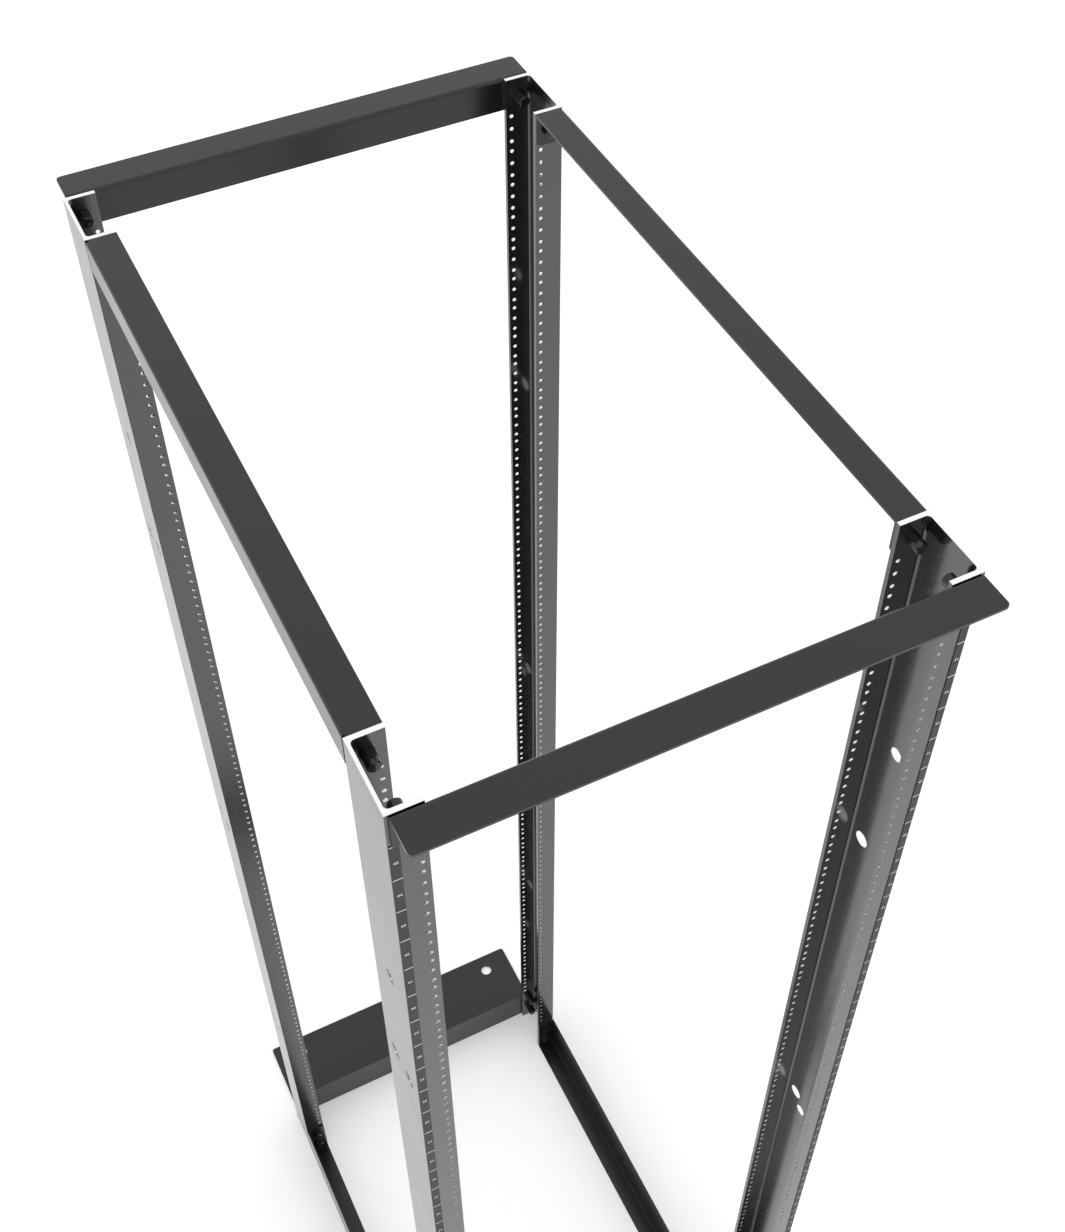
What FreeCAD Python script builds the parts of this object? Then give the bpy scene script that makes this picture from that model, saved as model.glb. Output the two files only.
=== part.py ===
"""Four post open frame rack, 45 units high, with its floor angles.

Four C channel posts stand on the floor. An angle bolted across the front pair and
another across the rear pair close the frame at the top, and two wide floor angles
close it at the base. Light angle rails with end plates join front posts to rear
posts along both sides, at the top and at the base.

X runs across the rack, Y runs from the front to the rear, Z is up. The origin is on
the floor, in the middle of the rack. All lengths are in millimetres.
"""

import FreeCAD
import Part
import os
import Sketcher

# Driving dimensions: name, value, meaning
SIZES = (
    ("rack_width", 515.94, "over the webs of the left and right posts"),
    ("frame_depth", 812.8, "over the flanges of the front and rear posts"),
    ("rack_units", 45, "number of units"),
    ("unit_height", 44.45, "height of one unit"),
    ("first_unit_height", 94.65, "floor to the lower edge of the first unit"),
    ("top_margin", 38.7, "upper edge of the last unit to the top of a post"),
    ("channel_depth", 76.2, "post, over its two flanges"),
    ("flange_width", 31.75, "post, from the outside of the web to the flange edge"),
    ("web_wall", 3.2, "post, thickness of the web"),
    ("flange_wall", 4.76, "post, thickness of each flange"),
    ("post_fillet", 3.97, "inside fillet between web and flange"),
    ("hole_diameter", 4.8, "equipment hole, the mean diameter of its number 12 thread"),
    ("hole_inset", 25.4, "outside of the web to the row of equipment holes"),
    ("hole_rise", 6.35, "lower edge of a unit to its first hole"),
    ("hole_pitch", 15.875, "between the three holes of one unit"),
    ("web_hole_diameter", 15.1, "single hole in the middle of the web"),
    ("web_pair_diameter", 18.0, "each of the two holes side by side in the web"),
    ("web_pair_spacing", 31.75, "between the two holes side by side"),
    ("web_hole_offset", 292.1, "post end to the nearest single web hole"),
    ("web_pair_offset", 457.2, "post end to the nearest pair of web holes"),
    ("middle_pair_rise", 23.8, "middle of the web up to the middle pair of web holes"),
    ("insert_hole_diameter", 13.5, "post, hole for the threaded insert of a frame bolt"),
    ("bolt_hole_diameter", 10.3, "angle or plate, clearance hole for a 3/8 inch frame bolt"),
    ("top_bolt_drop", 21.9, "top of a post to the upper frame bolt"),
    ("base_bolt_low", 25.4, "floor to the lower frame bolt"),
    ("base_bolt_high", 66.7, "floor to the second frame bolt"),
    ("top_angle_setback", 3.2, "outside of a post's web to the end of a top angle"),
    ("base_angle_setback", 3.97, "outside of a post's web to the end of a floor angle"),
    ("top_angle_wall", 2.66, "thickness of the top angles"),
    ("top_angle_drop", 38.1, "height of the top angle's upright leg"),
    ("top_angle_reach", 38.1, "depth of the top angle's flat leg"),
    ("base_angle_wall", 4.76, "thickness of the floor angles"),
    ("base_angle_rise", 76.2, "height of the floor angle's upright leg"),
    ("base_angle_reach", 150.9, "depth of the floor angle's flat leg"),
    ("anchor_hole_diameter", 20.6, "hole for a floor anchor"),
    ("anchor_end_inset", 50.8, "end of the floor angle to an anchor hole"),
    ("anchor_edge_inset", 31.75, "free edge of the floor angle to an anchor hole"),
    ("bend_radius", 1.31, "inside of the bend of an angle or a rail"),
    ("leg_corner_radius", 4.8, "free corners of a flat leg of an angle"),
    ("rail_wall", 2.66, "thickness of the side rails"),
    ("rail_reach", 31.75, "width of a side rail's flat leg"),
    ("top_rail_drop", 34.9, "height of the top rail's upright leg"),
    ("base_rail_rise", 88.9, "height of the base rail's upright leg"),
    ("plate_wall", 2.66, "thickness of a rail's end plate"),
    ("top_plate_drop", 38.1, "top of the rack to the lower edge of an end plate"),
    ("base_plate_rise", 88.9, "floor to the upper edge of an end plate"),
    ("plate_corner_radius", 6.35, "free corners of an end plate"),
    ("strip_width", 7.94, "number strip on a front post"),
    ("strip_wall", 0.75, "thickness of that strip"),
    ("strip_inset", 0.95, "outside of the web to the edge of a number strip"),
    ("strip_overlap", 0.5, "number strip past the first and the last unit"),
    ("strip_shift", 1.6, "number strip and its lines below the edges of the units"),
)

# Lengths that follow from the driving dimensions
RACK_HEIGHT = "(sizes.first_unit_height + sizes.rack_units * sizes.unit_height + sizes.top_margin)"
RAIL_LENGTH = "(sizes.frame_depth - 2 * sizes.channel_depth)"
BOLT_ACROSS = "(sizes.flange_width / 2)"
TOP_ANGLE_LENGTH = "(sizes.rack_width - 2 * sizes.top_angle_setback)"
BASE_ANGLE_LENGTH = "(sizes.rack_width - 2 * sizes.base_angle_setback)"

UPRIGHT = FreeCAD.Rotation()
HALF_TURN_X = FreeCAD.Rotation(FreeCAD.Vector(1, 0, 0), 180)
HALF_TURN_Y = FreeCAD.Rotation(FreeCAD.Vector(0, 1, 0), 180)
HALF_TURN_Z = FreeCAD.Rotation(FreeCAD.Vector(0, 0, 1), 180)
QUARTER_TURN_LEFT = FreeCAD.Rotation(FreeCAD.Vector(0, 0, 1), 90)
QUARTER_TURN_RIGHT = FreeCAD.Rotation(FreeCAD.Vector(0, 0, 1), -90)

NEAR = 1e-4

document = FreeCAD.newDocument("four_post_rack")
sizes = document.addObject("Spreadsheet::Sheet", "sizes")


def fill_sheet():
    """Write every driving dimension into the sheet and name its cell."""
    for row, (name, value, meaning) in enumerate(SIZES, start=1):
        sizes.set(f"A{row}", name)
        sizes.set(f"B{row}", str(value))
        sizes.set(f"C{row}", meaning)
        sizes.setAlias(f"B{row}", name)
    document.recompute()


def number(expression):
    """The plain number that an expression of sheet values gives."""
    return float(sizes.evalExpression(expression))


def bind(target, **expressions):
    """Bind properties of a feature to expressions of the sheet."""
    for name, expression in expressions.items():
        target.setExpression(name, expression)


def new_body(label):
    """An empty body whose label names the sub-part."""
    body = document.addObject("PartDesign::Body", label)
    body.Label = label
    return body


def new_sketch(body, plane, name):
    """A sketch on one of the body's own origin planes."""
    sketch = body.newObject("Sketcher::SketchObject", name)
    support = next(item for item in body.Origin.OriginFeatures if item.Role == plane)
    sketch.AttachmentSupport = [(support, "")]
    sketch.MapMode = "FlatFace"
    return sketch


def pin(sketch, piece, end, across, up):
    """Hold a point of the sketch at two expressions, measured from the sketch's origin."""
    for kind, expression, axis in (("DistanceX", across, -2), ("DistanceY", up, -1)):
        if expression == "0":
            sketch.addConstraint(Sketcher.Constraint("PointOnObject", piece, end, axis))
            continue
        value = number(expression)
        index = sketch.addConstraint(Sketcher.Constraint(kind, -1, 1, piece, end, value))
        sketch.setExpression(f"Constraints[{index}]", expression)


def add_outline(sketch, corners):
    """A closed outline of straight lines through corners given as expressions."""
    points = [FreeCAD.Vector(number(across), number(up), 0) for across, up in corners]
    lines = list(range(sketch.GeometryCount, sketch.GeometryCount + len(points)))
    for start, end in zip(points, points[1:] + points[:1]):
        sketch.addGeometry(Part.LineSegment(start, end), False)
    for line, following in zip(lines, lines[1:] + lines[:1]):
        sketch.addConstraint(Sketcher.Constraint("Coincident", line, 2, following, 1))
    for line, (across, up) in zip(lines, corners):
        pin(sketch, line, 1, across, up)


def add_circles(sketch, centres, diameter):
    """Round holes of one diameter, their centres given as expressions."""
    for across, up in centres:
        centre = FreeCAD.Vector(number(across), number(up), 0)
        circle = Part.Circle(centre, FreeCAD.Vector(0, 0, 1), number(diameter) / 2)
        piece = sketch.addGeometry(circle, False)
        pin(sketch, piece, 3, across, up)
        size = Sketcher.Constraint("Diameter", piece, number(diameter))
        index = sketch.addConstraint(size)
        sketch.setExpression(f"Constraints[{index}]", diameter)


def pad(body, sketch, name, length):
    """Pad a sketch along its plane's normal."""
    feature = body.newObject("PartDesign::Pad", name)
    feature.Profile = sketch
    bind(feature, Length=length)
    document.recompute()
    return feature


def pocket(body, sketch, name, depth, flipped=False):
    """Cut a sketch into the body and make sure that it took something away."""
    before = body.Shape.Volume
    feature = body.newObject("PartDesign::Pocket", name)
    feature.Profile = sketch
    feature.Reversed = flipped
    bind(feature, Length=depth)
    document.recompute()
    if not body.Shape.Volume < before - NEAR:
        raise RuntimeError(f"{name} cuts nothing from {body.Label}")
    return feature


def round_edges(body, name, radius, chosen):
    """Round the edges of the body's tip for which chosen(edge) is true."""
    base = body.Tip
    edges = [f"Edge{index}" for index, edge in enumerate(base.Shape.Edges, 1) if chosen(edge)]
    feature = body.newObject("PartDesign::Fillet", name)
    feature.Base = (base, edges)
    bind(feature, Radius=radius)
    document.recompute()
    return feature


def runs_along(edge, direction, **place):
    """True where an edge is straight along X, Y or Z and lies at the given coordinates."""
    if not isinstance(edge.Curve, Part.Line):
        return False
    if abs(getattr(edge.Curve.Direction, direction)) < 1 - NEAR:
        return False
    start = edge.Vertexes[0].Point
    return all(abs(getattr(start, axis) - value) < NEAR for axis, value in place.items())


def put(body, across, along, up, rotation=UPRIGHT):
    """Place a body: where its own origin goes, as expressions, and how it is turned."""
    body.Placement = FreeCAD.Placement(FreeCAD.Vector(), rotation)
    body.setExpression("Placement.Base.x", across)
    body.setExpression("Placement.Base.y", along)
    body.setExpression("Placement.Base.z", up)


def post_profile(body):
    """The C section of a post, padded to the height of the rack and filleted inside."""
    web = "sizes.web_wall"
    flange = "sizes.flange_wall"
    width = "sizes.flange_width"
    depth = "sizes.channel_depth"
    rear_face = "sizes.channel_depth - sizes.flange_wall"
    corners = (
        ("0", "0"), (width, "0"), (width, flange), (web, flange),
        (web, rear_face), (width, rear_face), (width, depth), ("0", depth),
    )
    section = new_sketch(body, "XY_Plane", "section")
    add_outline(section, corners)
    pad(body, section, "channel", RACK_HEIGHT)
    inside = (number(flange), number(rear_face))
    round_edges(
        body, "inside_fillets", "sizes.post_fillet",
        lambda edge: any(runs_along(edge, "z", x=number(web), y=y) for y in inside),
    )


def equipment_holes(body):
    """Three holes a unit through both flanges, repeated up the post."""
    first = "sizes.first_unit_height + sizes.hole_rise"
    centres = [("sizes.hole_inset", f"{first} + {step} * sizes.hole_pitch") for step in range(3)]
    sketch = new_sketch(body, "XZ_Plane", "unit_holes")
    add_circles(sketch, centres, "sizes.hole_diameter")
    first_unit = pocket(body, sketch, "first_unit", "sizes.channel_depth")
    pattern = body.newObject("PartDesign::LinearPattern", "all_units")
    pattern.Originals = [first_unit]
    pattern.Direction = (sketch, ["V_Axis"])
    bind(pattern, Length="sizes.unit_height * (sizes.rack_units - 1)", Occurrences="sizes.rack_units")
    body.Tip = pattern
    document.recompute()


def frame_bolt_holes(body):
    """Holes for the frame bolts' threaded inserts, through both flanges of a post."""
    heights = ("sizes.base_bolt_low", "sizes.base_bolt_high", f"{RACK_HEIGHT} - sizes.top_bolt_drop")
    sketch = new_sketch(body, "XZ_Plane", "frame_bolts")
    add_circles(sketch, [(BOLT_ACROSS, height) for height in heights], "sizes.insert_hole_diameter")
    pocket(body, sketch, "frame_bolt_holes", "sizes.channel_depth")


def web_holes(body):
    """The round holes in the web: singles and side by side pairs, low, middle and high."""
    middle = "sizes.channel_depth / 2"
    half_pair = "sizes.web_pair_spacing / 2"
    singles = (
        "sizes.web_hole_offset",
        f"{RACK_HEIGHT} / 2",
        f"{RACK_HEIGHT} - sizes.web_hole_offset",
    )
    pairs = (
        "sizes.web_pair_offset",
        f"{RACK_HEIGHT} / 2 + sizes.middle_pair_rise",
        f"{RACK_HEIGHT} - sizes.web_pair_offset",
    )
    sketch = new_sketch(body, "YZ_Plane", "web_circles")
    add_circles(sketch, [(middle, height) for height in singles], "sizes.web_hole_diameter")
    for height in pairs:
        sides = [(f"{middle} - {half_pair}", height), (f"{middle} + {half_pair}", height)]
        add_circles(sketch, sides, "sizes.web_pair_diameter")
    pocket(body, sketch, "web_holes", "sizes.web_wall", flipped=True)


def make_first_post(label):
    """A whole post with its web outside, standing at the body's own origin."""
    body = new_body(label)
    post_profile(body)
    frame_bolt_holes(body)
    web_holes(body)
    equipment_holes(body)
    return body


def make_like_post(label, original):
    """Another post cut from the same channel: a clone of the first one's solid."""
    body = new_body(label)
    clone = document.addObject("PartDesign::FeatureBase", f"{label}_clone")
    body.Group = [clone]
    clone.BaseFeature = original.Tip
    body.Tip = clone
    return body


def make_posts():
    """Four like posts. The right ones are turned round, so that their webs are outside."""
    left = "-sizes.rack_width / 2"
    right = "sizes.rack_width / 2"
    first = make_first_post("front_left_post")
    put(first, left, "-sizes.frame_depth / 2", "0")
    rear_left = make_like_post("rear_left_post", first)
    put(rear_left, left, "sizes.frame_depth / 2 - sizes.channel_depth", "0")
    front_right = make_like_post("front_right_post", first)
    put(front_right, right, "sizes.channel_depth - sizes.frame_depth / 2", "0", HALF_TURN_Z)
    rear_right = make_like_post("rear_right_post", first)
    put(rear_right, right, "sizes.frame_depth / 2", "0", HALF_TURN_Z)


def make_angle(label, length, wall, reach, rise):
    """An angle along its own X, with its heel at the origin: one leg flat, one upright."""
    body = new_body(label)
    corners = (("0", "0"), (reach, "0"), (reach, wall), (wall, wall), (wall, rise), ("0", rise))
    section = new_sketch(body, "YZ_Plane", "section")
    add_outline(section, corners)
    pad(body, section, "angle", length)
    thickness = number(wall)
    round_edges(
        body, "bend_outside", f"{wall} + sizes.bend_radius",
        lambda edge: runs_along(edge, "x", y=0, z=0),
    )
    round_edges(
        body, "bend_inside", "sizes.bend_radius",
        lambda edge: runs_along(edge, "x", y=thickness, z=thickness),
    )
    return body


def make_cross_angle(label, length, wall, reach, rise, bolt_heights):
    """An angle that ties two posts together across the rack, with its bolt holes."""
    body = make_angle(label, length, wall, reach, rise)
    round_edges(
        body, "leg_corners", "sizes.leg_corner_radius",
        lambda edge: runs_along(edge, "z", y=number(reach)),
    )
    near_end = f"({BOLT_ACROSS} - (sizes.rack_width - {length}) / 2)"
    far_end = f"({length} - {near_end})"
    centres = [(across, height) for across in (near_end, far_end) for height in bolt_heights]
    sketch = new_sketch(body, "XZ_Plane", "bolt_circles")
    add_circles(sketch, centres, "sizes.bolt_hole_diameter")
    pocket(body, sketch, "bolt_holes", wall)
    return body


def make_top_angles():
    """The two top angles: flat leg level with the post ends and pointing outward."""
    heights = ("sizes.top_bolt_drop",)
    leg = ("sizes.top_angle_wall", "sizes.top_angle_reach", "sizes.top_angle_drop", heights)
    rear = make_cross_angle("top_rear_angle", TOP_ANGLE_LENGTH, *leg)
    put(rear, f"{TOP_ANGLE_LENGTH} / 2", "sizes.frame_depth / 2", RACK_HEIGHT, HALF_TURN_Y)
    front = make_cross_angle("top_front_angle", TOP_ANGLE_LENGTH, *leg)
    put(front, f"-{TOP_ANGLE_LENGTH} / 2", "-sizes.frame_depth / 2", RACK_HEIGHT, HALF_TURN_X)


def drill_anchor_holes(body):
    """The holes by which a floor angle is anchored."""
    depth = "sizes.base_angle_reach - sizes.anchor_edge_inset"
    ends = ("sizes.anchor_end_inset", f"{BASE_ANGLE_LENGTH} - sizes.anchor_end_inset")
    sketch = new_sketch(body, "XY_Plane", "anchor_circles")
    add_circles(sketch, [(across, depth) for across in ends], "sizes.anchor_hole_diameter")
    pocket(body, sketch, "anchor_holes", "sizes.base_angle_wall", flipped=True)


def make_base_angles():
    """The two floor angles, which carry the frame and reach out in front and behind."""
    heights = ("sizes.base_bolt_low", "sizes.base_bolt_high")
    leg = ("sizes.base_angle_wall", "sizes.base_angle_reach", "sizes.base_angle_rise", heights)
    rear = make_cross_angle("base_rear_angle", BASE_ANGLE_LENGTH, *leg)
    drill_anchor_holes(rear)
    put(rear, f"-{BASE_ANGLE_LENGTH} / 2", "sizes.frame_depth / 2", "0")
    front = make_cross_angle("base_front_angle", BASE_ANGLE_LENGTH, *leg)
    drill_anchor_holes(front)
    put(front, f"{BASE_ANGLE_LENGTH} / 2", "-sizes.frame_depth / 2", "0", HALF_TURN_Z)


def make_rail(label, rise):
    """A side rail. Its upright leg stops short of the posts, clear of the end plates."""
    wall = "sizes.rail_wall"
    body = make_angle(label, RAIL_LENGTH, wall, "sizes.rail_reach", rise)
    sketch = new_sketch(body, "XZ_Plane", "end_reliefs")
    relief = "sizes.plate_wall"
    far = f"{RAIL_LENGTH} - sizes.plate_wall"
    add_outline(sketch, (("0", "0"), (relief, "0"), (relief, rise), ("0", rise)))
    add_outline(sketch, ((far, "0"), (RAIL_LENGTH, "0"), (RAIL_LENGTH, rise), (far, rise)))
    pocket(body, sketch, "end_reliefs_cut", wall)
    return body


def make_rails():
    """The four side rails, between the front and the rear posts."""
    left = "-sizes.rack_width / 2"
    right = "sizes.rack_width / 2"
    front = f"-{RAIL_LENGTH} / 2"
    rear = f"{RAIL_LENGTH} / 2"
    put(make_rail("base_left_rail", "sizes.base_rail_rise"), left, rear, "0", QUARTER_TURN_RIGHT)
    put(make_rail("base_right_rail", "sizes.base_rail_rise"), right, front, "0", QUARTER_TURN_LEFT)
    top_left = QUARTER_TURN_LEFT.multiply(HALF_TURN_X)
    put(make_rail("top_left_rail", "sizes.top_rail_drop"), left, front, RACK_HEIGHT, top_left)
    top_right = QUARTER_TURN_RIGHT.multiply(HALF_TURN_X)
    put(make_rail("top_right_rail", "sizes.top_rail_drop"), right, rear, RACK_HEIGHT, top_right)


def make_end_plate(label, height, bolt_heights):
    """An end plate of a rail, seated on the rail's flat leg and inside its upright leg."""
    body = new_body(label)
    width = "sizes.flange_width - sizes.rail_wall"
    outline = new_sketch(body, "XZ_Plane", "outline")
    add_outline(outline, (("0", "0"), (width, "0"), (width, height), ("0", height)))
    plate = pad(body, outline, "plate", "sizes.plate_wall")
    plate.Reversed = True
    document.recompute()
    free_edge = number(height)
    round_edges(
        body, "free_corners", "sizes.plate_corner_radius",
        lambda edge: runs_along(edge, "y", z=free_edge),
    )
    round_edges(
        body, "corner_in_the_bend", "sizes.bend_radius",
        lambda edge: runs_along(edge, "y", x=0, z=0),
    )
    centres = [(f"{BOLT_ACROSS} - sizes.rail_wall", bolt) for bolt in bolt_heights]
    sketch = new_sketch(body, "XZ_Plane", "bolt_circles")
    add_circles(sketch, centres, "sizes.bolt_hole_diameter")
    pocket(body, sketch, "bolt_holes", "sizes.plate_wall")
    return body


def make_end_plates():
    """Two end plates to each rail, flat against the posts' inner flanges."""
    left = "sizes.rail_wall - sizes.rack_width / 2"
    right = "sizes.rack_width / 2 - sizes.rail_wall"
    front_face = f"-{RAIL_LENGTH} / 2"
    rear_face = f"{RAIL_LENGTH} / 2"
    seat = "sizes.rail_wall"
    top_seat = f"{RACK_HEIGHT} - sizes.rail_wall"
    base = (
        "sizes.base_plate_rise - sizes.rail_wall",
        ("sizes.base_bolt_low - sizes.rail_wall", "sizes.base_bolt_high - sizes.rail_wall"),
    )
    top = ("sizes.top_plate_drop - sizes.rail_wall", ("sizes.top_bolt_drop - sizes.rail_wall",))
    for end, near_side, far_side in (
        ("front", front_face, f"{front_face} + sizes.plate_wall"),
        ("rear", f"{rear_face} - sizes.plate_wall", rear_face),
    ):
        put(make_end_plate(f"base_left_{end}_plate", *base), left, near_side, seat)
        put(make_end_plate(f"base_right_{end}_plate", *base), right, far_side, seat, HALF_TURN_Z)
        put(make_end_plate(f"top_left_{end}_plate", *top), left, far_side, top_seat, HALF_TURN_X)
        put(make_end_plate(f"top_right_{end}_plate", *top), right, near_side, top_seat, HALF_TURN_Y)


def make_number_strips():
    """The thin strips on the front flanges, one unit line for each unit, beside the corner."""
    height = "sizes.rack_units * sizes.unit_height + 2 * sizes.strip_overlap"
    foot = "sizes.first_unit_height - sizes.strip_shift - sizes.strip_overlap"
    left = "sizes.strip_inset - sizes.rack_width / 2"
    right = "sizes.rack_width / 2 - sizes.strip_inset - sizes.strip_width"
    for side, across in (("left", left), ("right", right)):
        body = new_body(f"front_{side}_number_strip")
        outline = new_sketch(body, "XZ_Plane", "outline")
        width = "sizes.strip_width"
        add_outline(outline, (("0", "0"), (width, "0"), (width, height), ("0", height)))
        pad(body, outline, "strip", "sizes.strip_wall")
        put(body, across, "-sizes.frame_depth / 2", foot)


def check_and_export():
    """Stop on any failed feature or faulty solid, then write one file for each sub-part."""
    document.recompute()
    for item in document.Objects:
        if "Invalid" in item.State or "Error" in item.State:
            raise RuntimeError(f"{item.Label} failed: {item.State}")
    bodies = [item for item in document.Objects if item.TypeId == "PartDesign::Body"]
    for body in bodies:
        shape = body.Shape
        if shape.isNull() or not shape.isValid() or len(shape.Solids) != 1:
            raise RuntimeError(f"{body.Label} is not one sound solid")
    os.makedirs("parts", exist_ok=True)
    for body in bodies:
        body.Shape.exportStep(os.path.join("parts", f"{body.Label}.step"))


fill_sheet()
make_posts()
make_top_angles()
make_base_angles()
make_rails()
make_end_plates()
make_number_strips()
check_and_export()
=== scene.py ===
"""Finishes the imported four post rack: coats, bare cuts, threads, unit marks, bolts and studio."""
import math

import bmesh
import bpy
from bpy.props import FloatProperty, FloatVectorProperty, IntProperty, PointerProperty
from mathutils import Matrix, Vector


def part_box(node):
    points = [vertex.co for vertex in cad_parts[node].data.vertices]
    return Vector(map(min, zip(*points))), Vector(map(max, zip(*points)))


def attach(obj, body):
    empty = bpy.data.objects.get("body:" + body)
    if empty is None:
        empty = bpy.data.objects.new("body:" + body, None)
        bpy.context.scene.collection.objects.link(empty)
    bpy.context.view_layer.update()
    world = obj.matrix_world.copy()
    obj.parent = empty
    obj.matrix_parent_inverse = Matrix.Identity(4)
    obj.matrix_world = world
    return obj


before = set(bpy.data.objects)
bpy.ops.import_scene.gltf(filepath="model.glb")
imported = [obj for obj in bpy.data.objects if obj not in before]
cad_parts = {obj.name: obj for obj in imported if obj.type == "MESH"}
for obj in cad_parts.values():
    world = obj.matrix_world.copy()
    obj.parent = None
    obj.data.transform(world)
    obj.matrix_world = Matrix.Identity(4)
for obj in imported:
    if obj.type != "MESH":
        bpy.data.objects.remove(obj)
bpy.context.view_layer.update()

bl_info = {
    "name": "Four Post Rack Finish",
    "version": (1, 0, 0),
    "blender": (4, 5, 0),
    "location": "View3D > Sidebar > Rack",
    "description": "Coats a four post rack and adds its threads, unit marks, bolts and studio",
    "category": "Object",
}

# The rack's own places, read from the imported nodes

POSTS = ("front_left_post", "front_right_post", "rear_left_post", "rear_right_post")
STRIPS = ("front_left_number_strip", "front_right_number_strip")
MEMBERS = tuple(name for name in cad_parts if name.endswith(("_angle", "_rail", "_plate")))
POST_BOX = {name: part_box(name) for name in POSTS}
RACK_HEIGHT = POST_BOX["front_left_post"][1].z
WEB_OUTSIDE = POST_BOX["front_right_post"][1].x
ROOT = "root"
TAU = 2 * math.pi


# Sizes and colours that a user would change


def length(name, description, default):
    """A size in metres."""
    return FloatProperty(name=name, description=description, default=default, unit="LENGTH", precision=5)


def colour(name, description, default):
    """A colour, as the bare surface has it."""
    return FloatVectorProperty(
        name=name, description=description, default=default, subtype="COLOR", size=3, min=0.0, max=1.0
    )


class UnitSizes(bpy.types.PropertyGroup):
    """The rack units, their holes and their marks."""

    units: IntProperty(name="Units", description="Rack units on each post", default=45)
    unit_height: length("Unit Height", "Height of one rack unit", 0.04445)
    first_unit: length("First Unit", "Floor to the lower edge of the first unit", 0.09465)
    first_line: length("First Line", "Floor to the line that marks that edge", 0.09305)
    hole_rise: length("Hole Rise", "Lower edge of a unit to its first hole", 0.00635)
    hole_pitch: length("Hole Pitch", "Between the holes of one unit", 0.015875)
    hole_inset: length("Hole Inset", "Outside of the web to the hole column", 0.0254)
    flange_wall: length("Flange Wall", "Thickness of a post's flange", 0.00476)
    thread_radius: length("Thread Radius", "Outside of the thread's skin", 0.00237)
    thread_bore: length("Thread Bore", "Inside of the thread's crests", 0.00232)
    thread_pitch: length("Thread Pitch", "Least distance between two ridges of the thread", 0.0015)
    line_height: length("Line Height", "Thickness of a unit line", 0.0011)
    digit_height: length("Digit Height", "Height of a unit's number", 0.0033)
    digit_weight: length("Digit Weight", "How much bolder than the plain font the numbers are", 0.00008)
    print_proud: length("Print Proud", "How far the print stands off the strip", 0.00004)


class BoltSizes(bpy.types.PropertyGroup):
    """The frame bolts and their threaded inserts."""

    inset: length("Inset", "Outside of the web to a bolt", 0.015875)
    top_drop: length("Top Drop", "Top of the post to its bolt", 0.0219)
    base_low: length("Base Low", "Floor to the lower bolt", 0.0254)
    base_high: length("Base High", "Floor to the upper bolt", 0.0667)
    top_angle_wall: length("Top Angle Wall", "Thickness of a top angle", 0.00266)
    base_angle_wall: length("Base Angle Wall", "Thickness of a floor angle", 0.00476)
    plate_wall: length("Plate Wall", "Thickness of a rail's end plate", 0.00266)
    across: length("Across Flats", "Across the flats of a head", 0.01429)
    head_height: length("Head Height", "Height of a bolt's head", 0.006)
    bolt_radius: length("Bolt Radius", "Half the bolt's diameter", 0.00476)
    insert_radius: length("Insert Radius", "Half the diameter of a threaded insert", 0.00635)
    insert_reach: length("Insert Reach", "Inside of the flange to the end of an insert", 0.0150)
    insert_ease: length("Insert Ease", "Chamfer on the end of an insert", 0.001)
    front_extra: length("Front Extra", "How much further the inserts of the front angles reach", 0.0027)


class FinishColours(bpy.types.PropertyGroup):
    """The colours of the rack and of the studio."""

    post: colour("Post Coat", "Black coat on the posts", (0.012, 0.012, 0.0122))
    post_index: FloatProperty(
        name="Post Coat Index", description="Refractive index of the coat", default=1.88
    )
    coat: colour("Frame Coat", "Black coat on the angles and rails", (0.011, 0.011, 0.0115))
    bare: colour("Bare Metal", "Sawn and tapped aluminium", (0.96, 0.96, 0.96))
    bolt: colour("Bolt", "Glossy black of the bolts and inserts", (0.012, 0.012, 0.013))
    strip: colour("Strip", "Number strip", (0.020, 0.020, 0.021))
    marks: colour("Marks", "Unit lines and numbers", (0.72, 0.72, 0.72))
    floor: colour("Floor", "Studio floor", (0.85, 0.85, 0.85))
    floor_lift: FloatProperty(name="Floor Lift", description="White added to the seen floor", default=0.28)


class StudioSizes(bpy.types.PropertyGroup):
    """The camera and the room around the rack."""

    lens: FloatProperty(
        name="Lens", description="Focal length in millimetres on a 36 mm side", default=48.7278
    )
    shift_x: FloatProperty(name="Shift Right", description="Camera shift, in image sides", default=-0.00615)
    shift_y: FloatProperty(name="Shift Up", description="Camera shift, in image sides", default=-0.03255)
    floor_size: length("Floor Size", "Side of the studio floor", 60.0)


# How rough each surface is, from its glossiest spot to its dullest

POST_GLOSS = (0.17, 0.19)
FRAME_GLOSS = (0.2, 0.24)
THREAD_GLOSS = (0.18, 0.24)
BOLT_GLOSS = (0.04, 0.1)
STRIP_GLOSS = (0.48, 0.56)
MARKS_GLOSS = (0.5, 0.6)
CUT_ROUGHNESS = 0.25

# How deep the grain of each surface is, in metres, and how many grains go to a metre

COAT_DEPTH = 0.000005
BOLT_DEPTH = 0.000001
STRIP_DEPTH = 0.00001
METAL_GRAINS = 1500.0
STRIP_GRAINS = 1200.0
MARKS_GRAINS = 1600.0
BOLT_CLOUDS = 180.0


# Shader nodes


def link(tree, source, target):
    """Joins two sockets."""
    tree.links.new(source, target)


def add_node(tree, kind, **values):
    """A node with its properties set by name and its inputs by socket name or number."""
    node = tree.nodes.new(kind)
    inputs = values.pop("inputs", {})
    for name, value in values.items():
        setattr(node, name, value)
    for key, value in inputs.items():
        if isinstance(value, bpy.types.NodeSocket):
            link(tree, value, node.inputs[key])
        else:
            node.inputs[key].default_value = value
    return node


def rgba(values):
    """A colour with full alpha."""
    return (*values, 1.0)


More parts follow.
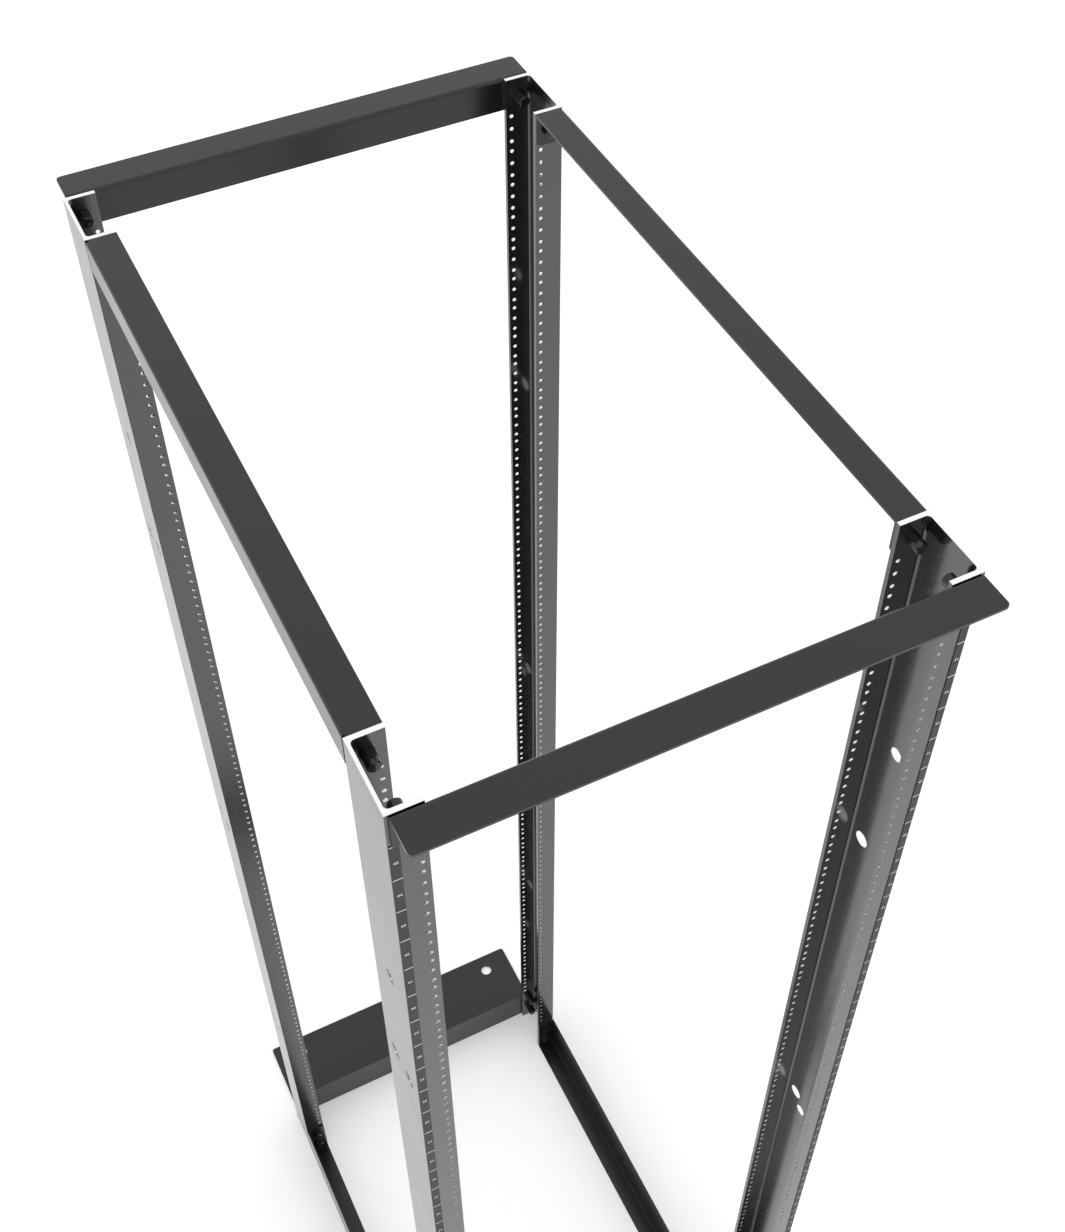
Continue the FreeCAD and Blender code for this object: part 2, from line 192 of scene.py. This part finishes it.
def new_group(name, inputs, outputs):
    """An empty shader node group with named sockets, and its two end nodes."""
    group = bpy.data.node_groups.new(name, "ShaderNodeTree")
    for label, kind, default in inputs:
        socket = group.interface.new_socket(label, in_out="INPUT", socket_type=kind)
        if default is not None:
            socket.default_value = default
    for label, kind in outputs:
        group.interface.new_socket(label, in_out="OUTPUT", socket_type=kind)
    entry = group.nodes.new("NodeGroupInput")
    leave = group.nodes.new("NodeGroupOutput")
    return group, entry, leave


def powder_grain_group():
    """Fine orange peel of a baked powder coat: a height and a slow change of gloss."""
    group, entry, leave = new_group(
        "Powder Grain",
        (("Grain Scale", "NodeSocketFloat", 700.0), ("Cloud Scale", "NodeSocketFloat", 12.0),
         ("Gloss Low", "NodeSocketFloat", 0.36), ("Gloss High", "NodeSocketFloat", 0.46)),
        (("Height", "NodeSocketFloat"), ("Roughness", "NodeSocketFloat")),
    )
    place = add_node(group, "ShaderNodeTexCoord").outputs["Object"]
    grain = add_node(group, "ShaderNodeTexNoise",
                     inputs={"Vector": place, "Scale": entry.outputs["Grain Scale"], "Detail": 2.0})
    cloud = add_node(group, "ShaderNodeTexNoise",
                     inputs={"Vector": place, "Scale": entry.outputs["Cloud Scale"], "Detail": 3.0})
    spread = add_node(group, "ShaderNodeMapRange",
                      inputs={"Value": cloud.outputs["Fac"], "From Min": 0.35, "From Max": 0.65,
                              "To Min": entry.outputs["Gloss Low"], "To Max": entry.outputs["Gloss High"]})
    link(group, grain.outputs["Fac"], leave.inputs["Height"])
    link(group, spread.outputs["Result"], leave.inputs["Roughness"])
    return group


def cut_mask_group():
    """1 on each face that was sawn or drilled across the post, and 0 on the faces that run along it."""
    group, entry, leave = new_group(
        "Cut Mask", (("Threshold", "NodeSocketFloat", 0.02),), (("Mask", "NodeSocketFloat"),)
    )
    surface = add_node(group, "ShaderNodeNewGeometry")
    apart = add_node(group, "ShaderNodeSeparateXYZ", inputs={"Vector": surface.outputs["Normal"]})
    slope = add_node(group, "ShaderNodeMath", operation="ABSOLUTE", inputs={0: apart.outputs["Z"]})
    cut = add_node(group, "ShaderNodeMath", operation="GREATER_THAN",
                   inputs={0: slope.outputs[0], 1: entry.outputs["Threshold"]})
    link(group, cut.outputs[0], leave.inputs["Mask"])
    return group


def new_material(name):
    """A material with one Principled shader, and its tree and shader."""
    material = bpy.data.materials.new(name)
    material.use_nodes = True
    tree = material.node_tree
    shader = next(node for node in tree.nodes if node.type == "BSDF_PRINCIPLED")
    return material, tree, shader


def group_node(tree, name, **values):
    """A placed node group, with its inputs set by name."""
    node = tree.nodes.new("ShaderNodeGroup")
    node.node_tree = bpy.data.node_groups[name]
    for label, value in values.items():
        node.inputs[label.replace("_", " ").title()].default_value = value
    return node


def add_bump(tree, shader, height, depth):
    """A bump of the given depth in metres on the shader's normal."""
    bump = add_node(tree, "ShaderNodeBump", inputs={"Height": height, "Strength": 1.0, "Distance": depth})
    link(tree, bump.outputs["Normal"], shader.inputs["Normal"])


def grained_material(name, base, gloss, depth=0.0, **scales):
    """A material with the gloss of the grain, and with its bump where a depth in metres is given."""
    material, tree, shader = new_material(name)
    shader.inputs["Base Color"].default_value = rgba(base)
    grain = group_node(tree, "Powder Grain", gloss_low=gloss[0], gloss_high=gloss[1], **scales)
    link(tree, grain.outputs["Roughness"], shader.inputs["Roughness"])
    if depth:
        add_bump(tree, shader, grain.outputs["Height"], depth)
    return material, tree, shader, grain


def frame_material(base):
    """Fine black powder coat."""
    return grained_material("Frame Coat", base, FRAME_GLOSS, COAT_DEPTH)[0]


def post_material(base, index, bare):
    """The powder coat of a post, with bare metal where it was sawn and drilled afterwards."""
    material, tree, shader, grain = grained_material("Post Coat", base, POST_GLOSS, COAT_DEPTH)
    shader.inputs["IOR"].default_value = index
    mask = group_node(tree, "Cut Mask").outputs["Mask"]
    hue = add_node(tree, "ShaderNodeMix", data_type="RGBA", inputs={0: mask, 6: rgba(base), 7: rgba(bare)})
    link(tree, hue.outputs[2], shader.inputs["Base Color"])
    gloss = add_node(tree, "ShaderNodeMix", data_type="FLOAT",
                     inputs={0: mask, 2: grain.outputs["Roughness"], 3: CUT_ROUGHNESS})
    link(tree, gloss.outputs[0], shader.inputs["Roughness"])
    link(tree, mask, shader.inputs["Metallic"])
    return material


def thread_material(bare):
    """Bright tapped aluminium."""
    material, _, shader, _ = grained_material("Tapped Thread", bare, THREAD_GLOSS, grain_scale=METAL_GRAINS)
    shader.inputs["Metallic"].default_value = 1.0
    return material


def bolt_material(base):
    """Glossy black steel with faint turning marks."""
    scales = {"grain_scale": METAL_GRAINS, "cloud_scale": BOLT_CLOUDS}
    return grained_material("Bolt Black", base, BOLT_GLOSS, BOLT_DEPTH, **scales)[0]


def strip_material(base):
    """Matte black strip behind the unit marks."""
    return grained_material("Unit Strip", base, STRIP_GLOSS, STRIP_DEPTH, grain_scale=STRIP_GRAINS)[0]


def marks_material(base):
    """White print of the unit lines and numbers."""
    return grained_material("Unit Marks", base, MARKS_GLOSS, grain_scale=MARKS_GRAINS)[0]


def seen_by_eye(tree):
    """1 for rays that come from the camera, a mirror or glass, and 0 for light itself."""
    path = add_node(tree, "ShaderNodeLightPath")
    first = add_node(tree, "ShaderNodeMath", operation="MAXIMUM",
                     inputs={0: path.outputs["Is Camera Ray"], 1: path.outputs["Is Glossy Ray"]})
    both = add_node(tree, "ShaderNodeMath", operation="MAXIMUM",
                    inputs={0: first.outputs[0], 1: path.outputs["Is Transmission Ray"]})
    return both.outputs[0]


def floor_material(base, lift):
    """Pale studio floor, made up to white where nothing shades it."""
    material, tree, shader = new_material("Studio Floor")
    shader.inputs["Base Color"].default_value = rgba(base)
    shader.inputs["Roughness"].default_value = 1.0
    shader.inputs["Specular IOR Level"].default_value = 0.0
    shader.inputs["Emission Color"].default_value = (1.0, 1.0, 1.0, 1.0)
    white = add_node(tree, "ShaderNodeMath", operation="MULTIPLY", inputs={0: seen_by_eye(tree), 1: lift})
    link(tree, white.outputs[0], shader.inputs["Emission Strength"])
    return material


# Mesh helpers


def dress(item, material):
    """Gives an object one material in every slot."""
    if not item.material_slots:
        item.data.materials.append(material)
    for place in item.material_slots:
        place.material = material


def new_object(name, mesh):
    """An object at the origin that holds the mesh."""
    item = bpy.data.objects.new(name, mesh)
    bpy.context.scene.collection.objects.link(item)
    return item


def points_mesh(name, points, facings=None):
    """A mesh of bare points, each with the way it faces."""
    mesh = bpy.data.meshes.new(name)
    mesh.from_pydata([tuple(point) for point in points], [], [])
    if facings:
        facing = mesh.attributes.new("facing", "FLOAT_VECTOR", "POINT")
        for index, way in enumerate(facings):
            facing.data[index].vector = way
    return mesh


CREASE = math.radians(35)


def finish_mesh(mesh):
    """Smooth faces with a crease at each real edge."""
    mesh.shade_smooth()
    mesh.set_sharp_from_angle(angle=CREASE)


def rings_mesh(name, rings, loop=False):
    """A closed skin through rings of as many points each: capped at both ends, or joined end to end."""
    shape = bmesh.new()
    loops = [[shape.verts.new(point) for point in ring] for ring in rings]
    steps = len(rings[0])
    pairs = list(zip(loops, loops[1:]))
    if loop:
        pairs.append((loops[-1], loops[0]))
    for low, high in pairs:
        for index in range(steps):
            after = (index + 1) % steps
            shape.faces.new((low[index], low[after], high[after], high[index]))
    if not loop:
        shape.faces.new(list(reversed(loops[0])))
        shape.faces.new(loops[-1])
    bmesh.ops.recalc_face_normals(shape, faces=shape.faces)
    mesh = bpy.data.meshes.new(name)
    shape.to_mesh(mesh)
    shape.free()
    finish_mesh(mesh)
    return mesh


def circle(radius, height, steps):
    """Points on a level circle."""
    turns = [TAU * index / steps for index in range(steps)]
    return [(radius * math.cos(turn), radius * math.sin(turn), height) for turn in turns]


def hexagon(across, steps, height_at):
    """Points on a hexagon, each at its own height."""
    points = []
    for index in range(steps):
        turn = TAU * index / steps
        radius = across / 2 / math.cos(turn % (TAU / 6) - TAU / 12)
        points.append((radius * math.cos(turn), radius * math.sin(turn), height_at(radius)))
    return points


HEX_STEPS = 36
CHAMFER_SLOPE = math.tan(math.radians(30))
FLAT_SHARE = 0.95


def head_mesh(across, height):
    """A hexagon head, chamfered on its outer end and flat under it."""
    flat = FLAT_SHARE * across / 2
    rings = (
        hexagon(across, HEX_STEPS, lambda radius: 0.0),
        hexagon(across, HEX_STEPS, lambda radius: height - (radius - flat) * CHAMFER_SLOPE),
        circle(flat, height, HEX_STEPS),
    )
    return rings_mesh("head_shape", rings)


def insert_mesh(bolt, start, radius, wall, end, ease):
    """A bolt's shank through a member, and the closed insert that it screws into, chamfered at its end."""
    rings = (
        circle(bolt, start, HEX_STEPS),
        circle(bolt, -wall, HEX_STEPS),
        circle(radius, -wall, HEX_STEPS),
        circle(radius, end - ease, HEX_STEPS),
        circle(radius - ease, end, HEX_STEPS),
    )
    return rings_mesh("insert_shape", rings)


THREAD_STEPS = 8
ROOT_SHARE = 0.25


def thread_mesh(outer, crest, pitch, wall):
    """The skin of a tapped hole through a wall, standing on its lower face, with ridges along its bore."""
    ridges = int(wall / pitch)
    root = outer - (outer - crest) * ROOT_SHARE
    rings = [circle(outer, wall, THREAD_STEPS), circle(outer, 0.0, THREAD_STEPS)]
    for ridge in range(ridges):
        if ridge:
            rings.append(circle(root, wall * ridge / ridges, THREAD_STEPS))
        rings.append(circle(crest, wall * (ridge + 0.5) / ridges, THREAD_STEPS))
    return rings_mesh("thread_shape", rings, loop=True)


# Geometry node trees


def new_tree(name, inputs):
    """A geometry tree with named inputs, its entry node and its exit node."""
    tree = bpy.data.node_groups.new(name, "GeometryNodeTree")
    tree.interface.new_socket("Geometry", in_out="INPUT", socket_type="NodeSocketGeometry")
    for label, kind in inputs:
        tree.interface.new_socket(label, in_out="INPUT", socket_type=kind)
    tree.interface.new_socket("Geometry", in_out="OUTPUT", socket_type="NodeSocketGeometry")
    entry = tree.nodes.new("NodeGroupInput")
    leave = tree.nodes.new("NodeGroupOutput")
    return tree, entry, leave


def math_node(tree, operation, first, second=0.0):
    """The result of a sum on two values or sockets."""
    return add_node(tree, "ShaderNodeMath", operation=operation, inputs={0: first, 1: second}).outputs[0]


def copies(tree, points, geometry, **turned):
    """A copy of the geometry at each point, turned where a rotation is given."""
    inputs = {"Points": points, "Instance": geometry, **turned}
    return add_node(tree, "GeometryNodeInstanceOnPoints", inputs=inputs).outputs["Instances"]


def end_tree(tree, entry, leave, geometry):
    """Real faces with the tree's material, sent out of the tree."""
    solid = add_node(tree, "GeometryNodeRealizeInstances", inputs={"Geometry": geometry})
    coated = add_node(tree, "GeometryNodeSetMaterial",
                      inputs={"Geometry": solid.outputs["Geometry"], "Material": entry.outputs["Material"]})
    link(tree, coated.outputs["Geometry"], leave.inputs["Geometry"])


UNIT_HOLES = 3.0
QUARTER_TURN = math.radians(90)


def thread_tree():
    """Three threads for each unit of a post, repeated on each point of the host mesh."""
    tree, entry, leave = new_tree(
        "Hole Threads",
        (("Units", "NodeSocketInt"), ("Unit Height", "NodeSocketFloat"),
         ("First Hole", "NodeSocketFloat"), ("Hole Pitch", "NodeSocketFloat"),
         ("Shape", "NodeSocketObject"), ("Material", "NodeSocketMaterial")),
    )
    holes = math_node(tree, "MULTIPLY", entry.outputs["Units"], UNIT_HOLES)
    column = add_node(tree, "GeometryNodeMeshLine", inputs={"Count": holes, "Offset": (0.0, 0.0, 0.0)})
    index = add_node(tree, "GeometryNodeInputIndex").outputs["Index"]
    halfway = math_node(tree, "ADD", index, 0.5)
    unit = math_node(tree, "FLOOR", math_node(tree, "DIVIDE", halfway, UNIT_HOLES))
    in_unit = math_node(tree, "SUBTRACT", index, math_node(tree, "MULTIPLY", unit, UNIT_HOLES))
    rise = math_node(tree, "ADD", math_node(tree, "MULTIPLY", unit, entry.outputs["Unit Height"]),
                     math_node(tree, "MULTIPLY", in_unit, entry.outputs["Hole Pitch"]))
    height = math_node(tree, "ADD", rise, entry.outputs["First Hole"])
    place = add_node(tree, "ShaderNodeCombineXYZ", inputs={"Z": height})
    placed = add_node(tree, "GeometryNodeSetPosition",
                      inputs={"Geometry": column.outputs["Mesh"], "Position": place.outputs["Vector"]})
    shape = add_node(tree, "GeometryNodeObjectInfo", inputs={"Object": entry.outputs["Shape"]})
    turned = add_node(tree, "GeometryNodeTransform",
                      inputs={"Geometry": shape.outputs["Geometry"], "Rotation": (QUARTER_TURN, 0.0, 0.0)})
    rings = copies(tree, placed.outputs["Geometry"], turned.outputs["Geometry"])
    one_column = add_node(tree, "GeometryNodeRealizeInstances", inputs={"Geometry": rings})
    columns = copies(tree, entry.outputs["Geometry"], one_column.outputs["Geometry"])
    end_tree(tree, entry, leave, columns)
    return tree


def line_tree():
    """A flat bar at each unit line above each point of the host mesh."""
    tree, entry, leave = new_tree(
        "Unit Lines",
        (("Lines", "NodeSocketInt"), ("Unit Height", "NodeSocketFloat"), ("Bar", "NodeSocketVector"),
         ("Material", "NodeSocketMaterial")),
    )
    step = add_node(tree, "ShaderNodeCombineXYZ", inputs={"Z": entry.outputs["Unit Height"]})
    column = add_node(tree, "GeometryNodeMeshLine",
                      inputs={"Count": entry.outputs["Lines"], "Offset": step.outputs["Vector"]})
    bar = add_node(tree, "GeometryNodeMeshCube", inputs={"Size": entry.outputs["Bar"]})
    bars = copies(tree, column.outputs["Mesh"], bar.outputs["Mesh"])
    one_column = add_node(tree, "GeometryNodeRealizeInstances", inputs={"Geometry": bars})
    columns = copies(tree, entry.outputs["Geometry"], one_column.outputs["Geometry"])
    end_tree(tree, entry, leave, columns)
    return tree


def bolt_tree():
    """The shape at each point of the host mesh, along the way the point faces, each turned by chance."""
    tree, entry, leave = new_tree(
        "Frame Bolts",
        (("Shape", "NodeSocketObject"), ("Seed", "NodeSocketInt"), ("Material", "NodeSocketMaterial")),
    )
    facing = add_node(tree, "GeometryNodeInputNamedAttribute", data_type="FLOAT_VECTOR",
                      inputs={"Name": "facing"})
    upright = add_node(tree, "FunctionNodeAlignRotationToVector", axis="Z",
                       inputs={"Vector": facing.outputs["Attribute"]})
    turn = add_node(tree, "FunctionNodeRandomValue", data_type="FLOAT",
                    inputs={2: 0.0, 3: TAU, "Seed": entry.outputs["Seed"]})
    spin = add_node(tree, "ShaderNodeCombineXYZ", inputs={"Z": turn.outputs[1]})
    spun = add_node(tree, "FunctionNodeRotateRotation", rotation_space="LOCAL",
                    inputs={"Rotation": upright.outputs["Rotation"], "Rotate By": spin.outputs["Vector"]})
    shape = add_node(tree, "GeometryNodeObjectInfo", inputs={"Object": entry.outputs["Shape"]})
    turned = spun.outputs["Rotation"]
    bolts = copies(tree, entry.outputs["Geometry"], shape.outputs["Geometry"], Rotation=turned)
    end_tree(tree, entry, leave, bolts)
    return tree


def grow(name, host, tree, values):
    """A piece that a geometry tree makes on a host mesh, as a plain mesh that rides on the rack."""
    item = new_object(name, host)
    growth = item.modifiers.new(tree.name, "NODES")
    growth.node_group = tree
    for socket in tree.interface.items_tree:
        if socket.in_out == "INPUT" and socket.name in values:
            growth[socket.identifier] = values[socket.name]
    shown = item.evaluated_get(bpy.context.evaluated_depsgraph_get())
    mesh = bpy.data.meshes.new_from_object(shown)
    item.modifiers.remove(growth)
    item.data = mesh
    mesh.name = name
    if not mesh.polygons:
        raise RuntimeError(f"{tree.name} made no faces for {name}")
    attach(item, ROOT)
    return item


# Operators


class RACK_OT_coat_posts(bpy.types.Operator):
    """Coat the four posts, with bare metal where they were sawn and drilled"""

    bl_idname = "rack.coat_posts"
    bl_label = "Coat Posts"

    def execute(self, context):
        colours = context.scene.rack_colours
        material = post_material(colours.post, colours.post_index, colours.bare)
        for name in POSTS:
            dress(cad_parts[name], material)
        return {"FINISHED"}


class RACK_OT_coat_members(bpy.types.Operator):
    """Coat the cross angles, side rails and end plates"""

    bl_idname = "rack.coat_members"
    bl_label = "Coat Angles and Rails"

    def execute(self, context):
        colours = context.scene.rack_colours
        material = frame_material(colours.coat)
        for name in MEMBERS:
            dress(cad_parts[name], material)
        return {"FINISHED"}


class RACK_OT_cut_threads(bpy.types.Operator):
    """Line every equipment hole with its bright cut thread"""

    bl_idname = "rack.cut_threads"
    bl_label = "Cut Threads"

    def execute(self, context):
        sizes = context.scene.rack_units
        material = thread_material(context.scene.rack_colours.bare)
        tree = thread_tree()
        wall = sizes.flange_wall
        mesh = thread_mesh(sizes.thread_radius, sizes.thread_bore, sizes.thread_pitch, wall)
        shape = new_object("thread_shape", mesh)
        inputs = {
            "Units": sizes.units, "Unit Height": sizes.unit_height, "Hole Pitch": sizes.hole_pitch,
            "First Hole": sizes.first_unit + sizes.hole_rise, "Shape": shape, "Material": material,
        }
        for name in POSTS:
            low, high = POST_BOX[name]
            side = math.copysign(1.0, low.x)
            across = side * (WEB_OUTSIDE - sizes.hole_inset)
            flanges = (low.y + wall, high.y)
            host = points_mesh("flanges", [(across, along, 0.0) for along in flanges])
            grow(name.replace("_post", "_threads"), host, tree, inputs)
        bpy.data.objects.remove(shape)
        return {"FINISHED"}


class RACK_OT_mark_units(bpy.types.Operator):
    """Finish the two strips, with a line at each unit and a plain number in it"""

    bl_idname = "rack.mark_units"
    bl_label = "Mark Units"

    DIGIT_SHARE = 0.73
    SAME_POINT = 1e-7

    def execute(self, context):
        sizes = context.scene.rack_units
        colours = context.scene.rack_colours
        strip_finish = strip_material(colours.strip)
        print_finish = marks_material(colours.marks)
        tree = line_tree()
        for name in STRIPS:
            dress(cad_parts[name], strip_finish)
            low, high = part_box(name)
            middle = (low.x + high.x) / 2
            host = points_mesh("first_line", [(middle, low.y, sizes.first_line)])
            bar = (high.x - low.x, 2 * sizes.print_proud, sizes.line_height)
            inputs = {
                "Lines": sizes.units + 1, "Unit Height": sizes.unit_height,
                "Bar": bar, "Material": print_finish,
            }
            grow(name.replace("number_strip", "unit_lines"), host, tree, inputs)
            numbers = self.numbers(sizes, middle, low.y)
            item = new_object(name.replace("number_strip", "unit_numbers"), numbers)
            dress(item, print_finish)
            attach(item, ROOT)
        return {"FINISHED"}

    def numbers(self, sizes, middle, face):
        """One mesh with every unit's number, centred in its unit."""
        shape = bmesh.new()
        for unit in range(1, sizes.units + 1):
            writing = bpy.data.curves.new("number", "FONT")
            writing.body = str(unit)
            writing.align_x = "CENTER"
            writing.align_y = "CENTER"
            writing.size = sizes.digit_height / self.DIGIT_SHARE
            writing.extrude = sizes.print_proud
            writing.offset = sizes.digit_weight
            writing.resolution_u = 3
            flat = new_object("number", writing)
            shown = flat.evaluated_get(bpy.context.evaluated_depsgraph_get())
            mesh = bpy.data.meshes.new_from_object(shown)
            height = sizes.first_line + (unit - 0.5) * sizes.unit_height
            upright = Matrix.Rotation(QUARTER_TURN, 4, "X")
            mesh.transform(Matrix.Translation((middle, face, height)) @ upright)
            shape.from_mesh(mesh)
            bpy.data.objects.remove(flat)
            bpy.data.curves.remove(writing)
            bpy.data.meshes.remove(mesh)
        bmesh.ops.remove_doubles(shape, verts=shape.verts, dist=self.SAME_POINT)
        bmesh.ops.recalc_face_normals(shape, faces=shape.faces)
        mesh = bpy.data.meshes.new("unit_numbers")
        shape.to_mesh(mesh)
        shape.free()
        return mesh


class RACK_OT_fit_bolts(bpy.types.Operator):
    """Bolt the angles and rails to the threaded inserts of the posts"""

    bl_idname = "rack.fit_bolts"
    bl_label = "Fit Bolts"

    def execute(self, context):
        sizes = context.scene.rack_bolts
        wall = context.scene.rack_units.flange_wall
        seats, outward, ends, inward = self.places(sizes, wall)
        start = -wall - sizes.base_angle_wall - sizes.front_extra
        insert = insert_mesh(
            sizes.bolt_radius, start, sizes.insert_radius, wall, sizes.insert_reach, sizes.insert_ease
        )
        material = bolt_material(context.scene.rack_colours.bolt)
        tree = bolt_tree()
        made = (
            ("bolt_heads", head_mesh(sizes.across, sizes.head_height), seats, outward, 3),
            ("bolt_inserts", insert, ends, inward, 9),
        )
        for name, mesh, points, ways, seed in made:
            shape = new_object(name + "_shape", mesh)
            inputs = {"Shape": shape, "Seed": seed, "Material": material}
            item = grow(name, points_mesh(name + "_places", points, ways), tree, inputs)
            finish_mesh(item.data)
            bpy.data.objects.remove(shape)
        return {"FINISHED"}

    def places(self, sizes, wall):
        """Where the heads sit and the inserts come out, and the way each faces."""
        seats, outward, ends, inward = [], [], [], []
        base = (sizes.base_low, sizes.base_high)
        top = (RACK_HEIGHT - sizes.top_drop,)
        for name in POSTS:
            low, high = POST_BOX[name]
            across = math.copysign(WEB_OUTSIDE - sizes.inset, low.x)
            for face, sign in ((low.y, -1.0), (high.y, 1.0)):
                outer = (sign < 0) == (low.y < 0)
                for height in (*base, *top):
                    angle_wall = sizes.base_angle_wall if height in base else sizes.top_angle_wall
                    member = angle_wall if outer else sizes.plate_wall
                    way = Vector((0.0, sign, 0.0))
                    seats.append(Vector((across, face + sign * member, height)))
                    outward.append(way)
                    extra = sizes.front_extra if outer and sign < 0 else 0.0
                    ends.append(Vector((across, face - sign * (wall + extra), height)))
                    inward.append(-way)
        return seats, outward, ends, inward


class RACK_OT_set_studio(bpy.types.Operator):
    """Lay the pale floor, light it softly and set the camera"""

    bl_idname = "rack.set_studio"
    bl_label = "Set Studio"

    FLOOR_LEVEL = -0.0002
    CAMERA_PLACE = (-0.449929, -1.038348, 3.113258)
    CAMERA_RIGHT = (0.89479713, -0.44647212, -0.00086891)
    CAMERA_UP = (0.33313313, 0.66635050, 0.66708270)
    CAMERA_BACK = (-0.29725481, -0.59719314, 0.74498317)

    def execute(self, context):
        self.lay_floor(context.scene)
        self.light_room(context.scene)
        self.set_camera(context.scene)
        return {"FINISHED"}

    def lay_floor(self, scene):
        """A large flat floor just under the rack."""
        half = scene.rack_studio.floor_size / 2
        corners = [(-half, -half), (half, -half), (half, half), (-half, half)]
        mesh = bpy.data.meshes.new("studio_floor")
        mesh.from_pydata([(*corner, self.FLOOR_LEVEL) for corner in corners], [], [(0, 1, 2, 3)])
        floor = new_object("studio_floor", mesh)
        dress(floor, floor_material(scene.rack_colours.floor, scene.rack_colours.floor_lift))

    def light_room(self, scene):
        """A plain white room."""
        world = bpy.data.worlds.new("Studio Room")
        world.use_nodes = True
        room = next(node for node in world.node_tree.nodes if node.type == "BACKGROUND")
        room.inputs["Color"].default_value = (1.0, 1.0, 1.0, 1.0)
        room.inputs["Strength"].default_value = 1.0
        scene.world = world
        scene.view_settings.view_transform = "Standard"

    def set_camera(self, scene):
        """The camera above the rack's front left."""
        sizes = scene.rack_studio
        data = bpy.data.cameras.new("Camera")
        data.sensor_width = 36.0
        data.lens = sizes.lens
        data.shift_x = sizes.shift_x
        data.shift_y = sizes.shift_y
        data.clip_start = 0.01
        data.clip_end = 200.0
        camera = new_object("Camera", data)
        turn = Matrix((self.CAMERA_RIGHT, self.CAMERA_UP, self.CAMERA_BACK)).transposed()
        camera.matrix_world = Matrix.Translation(self.CAMERA_PLACE) @ turn.to_4x4()
        scene.camera = camera


OPERATORS = (
    RACK_OT_coat_posts, RACK_OT_coat_members, RACK_OT_cut_threads,
    RACK_OT_mark_units, RACK_OT_fit_bolts, RACK_OT_set_studio,
)


class RACK_PT_finish(bpy.types.Panel):
    """The steps that finish the rack, in order"""

    bl_idname = "RACK_PT_finish"
    bl_label = "Four Post Rack"
    bl_space_type = "VIEW_3D"
    bl_region_type = "UI"
    bl_category = "Rack"

    def draw(self, context):
        for operator in OPERATORS:
            self.layout.operator(operator.bl_idname)


GROUPS = (
    ("rack_units", UnitSizes), ("rack_bolts", BoltSizes),
    ("rack_colours", FinishColours), ("rack_studio", StudioSizes),
)


def register():
    """Adds the settings, operators and panel."""
    for name, group in GROUPS:
        bpy.utils.register_class(group)
        setattr(bpy.types.Scene, name, PointerProperty(type=group))
    for operator in OPERATORS:
        bpy.utils.register_class(operator)
    bpy.utils.register_class(RACK_PT_finish)


def unregister():
    """Takes the panel, operators and settings away."""
    bpy.utils.unregister_class(RACK_PT_finish)
    for operator in reversed(OPERATORS):
        bpy.utils.unregister_class(operator)
    for name, group in reversed(GROUPS):
        delattr(bpy.types.Scene, name)
        bpy.utils.unregister_class(group)


def main():
    """Runs every step."""
    register()
    powder_grain_group()
    cut_mask_group()
    bpy.ops.rack.coat_posts()
    bpy.ops.rack.coat_members()
    bpy.ops.rack.cut_threads()
    bpy.ops.rack.mark_units()
    bpy.ops.rack.fit_bolts()
    bpy.ops.rack.set_studio()
    bpy.context.view_layer.update()


if __name__ == "__main__":
    main()
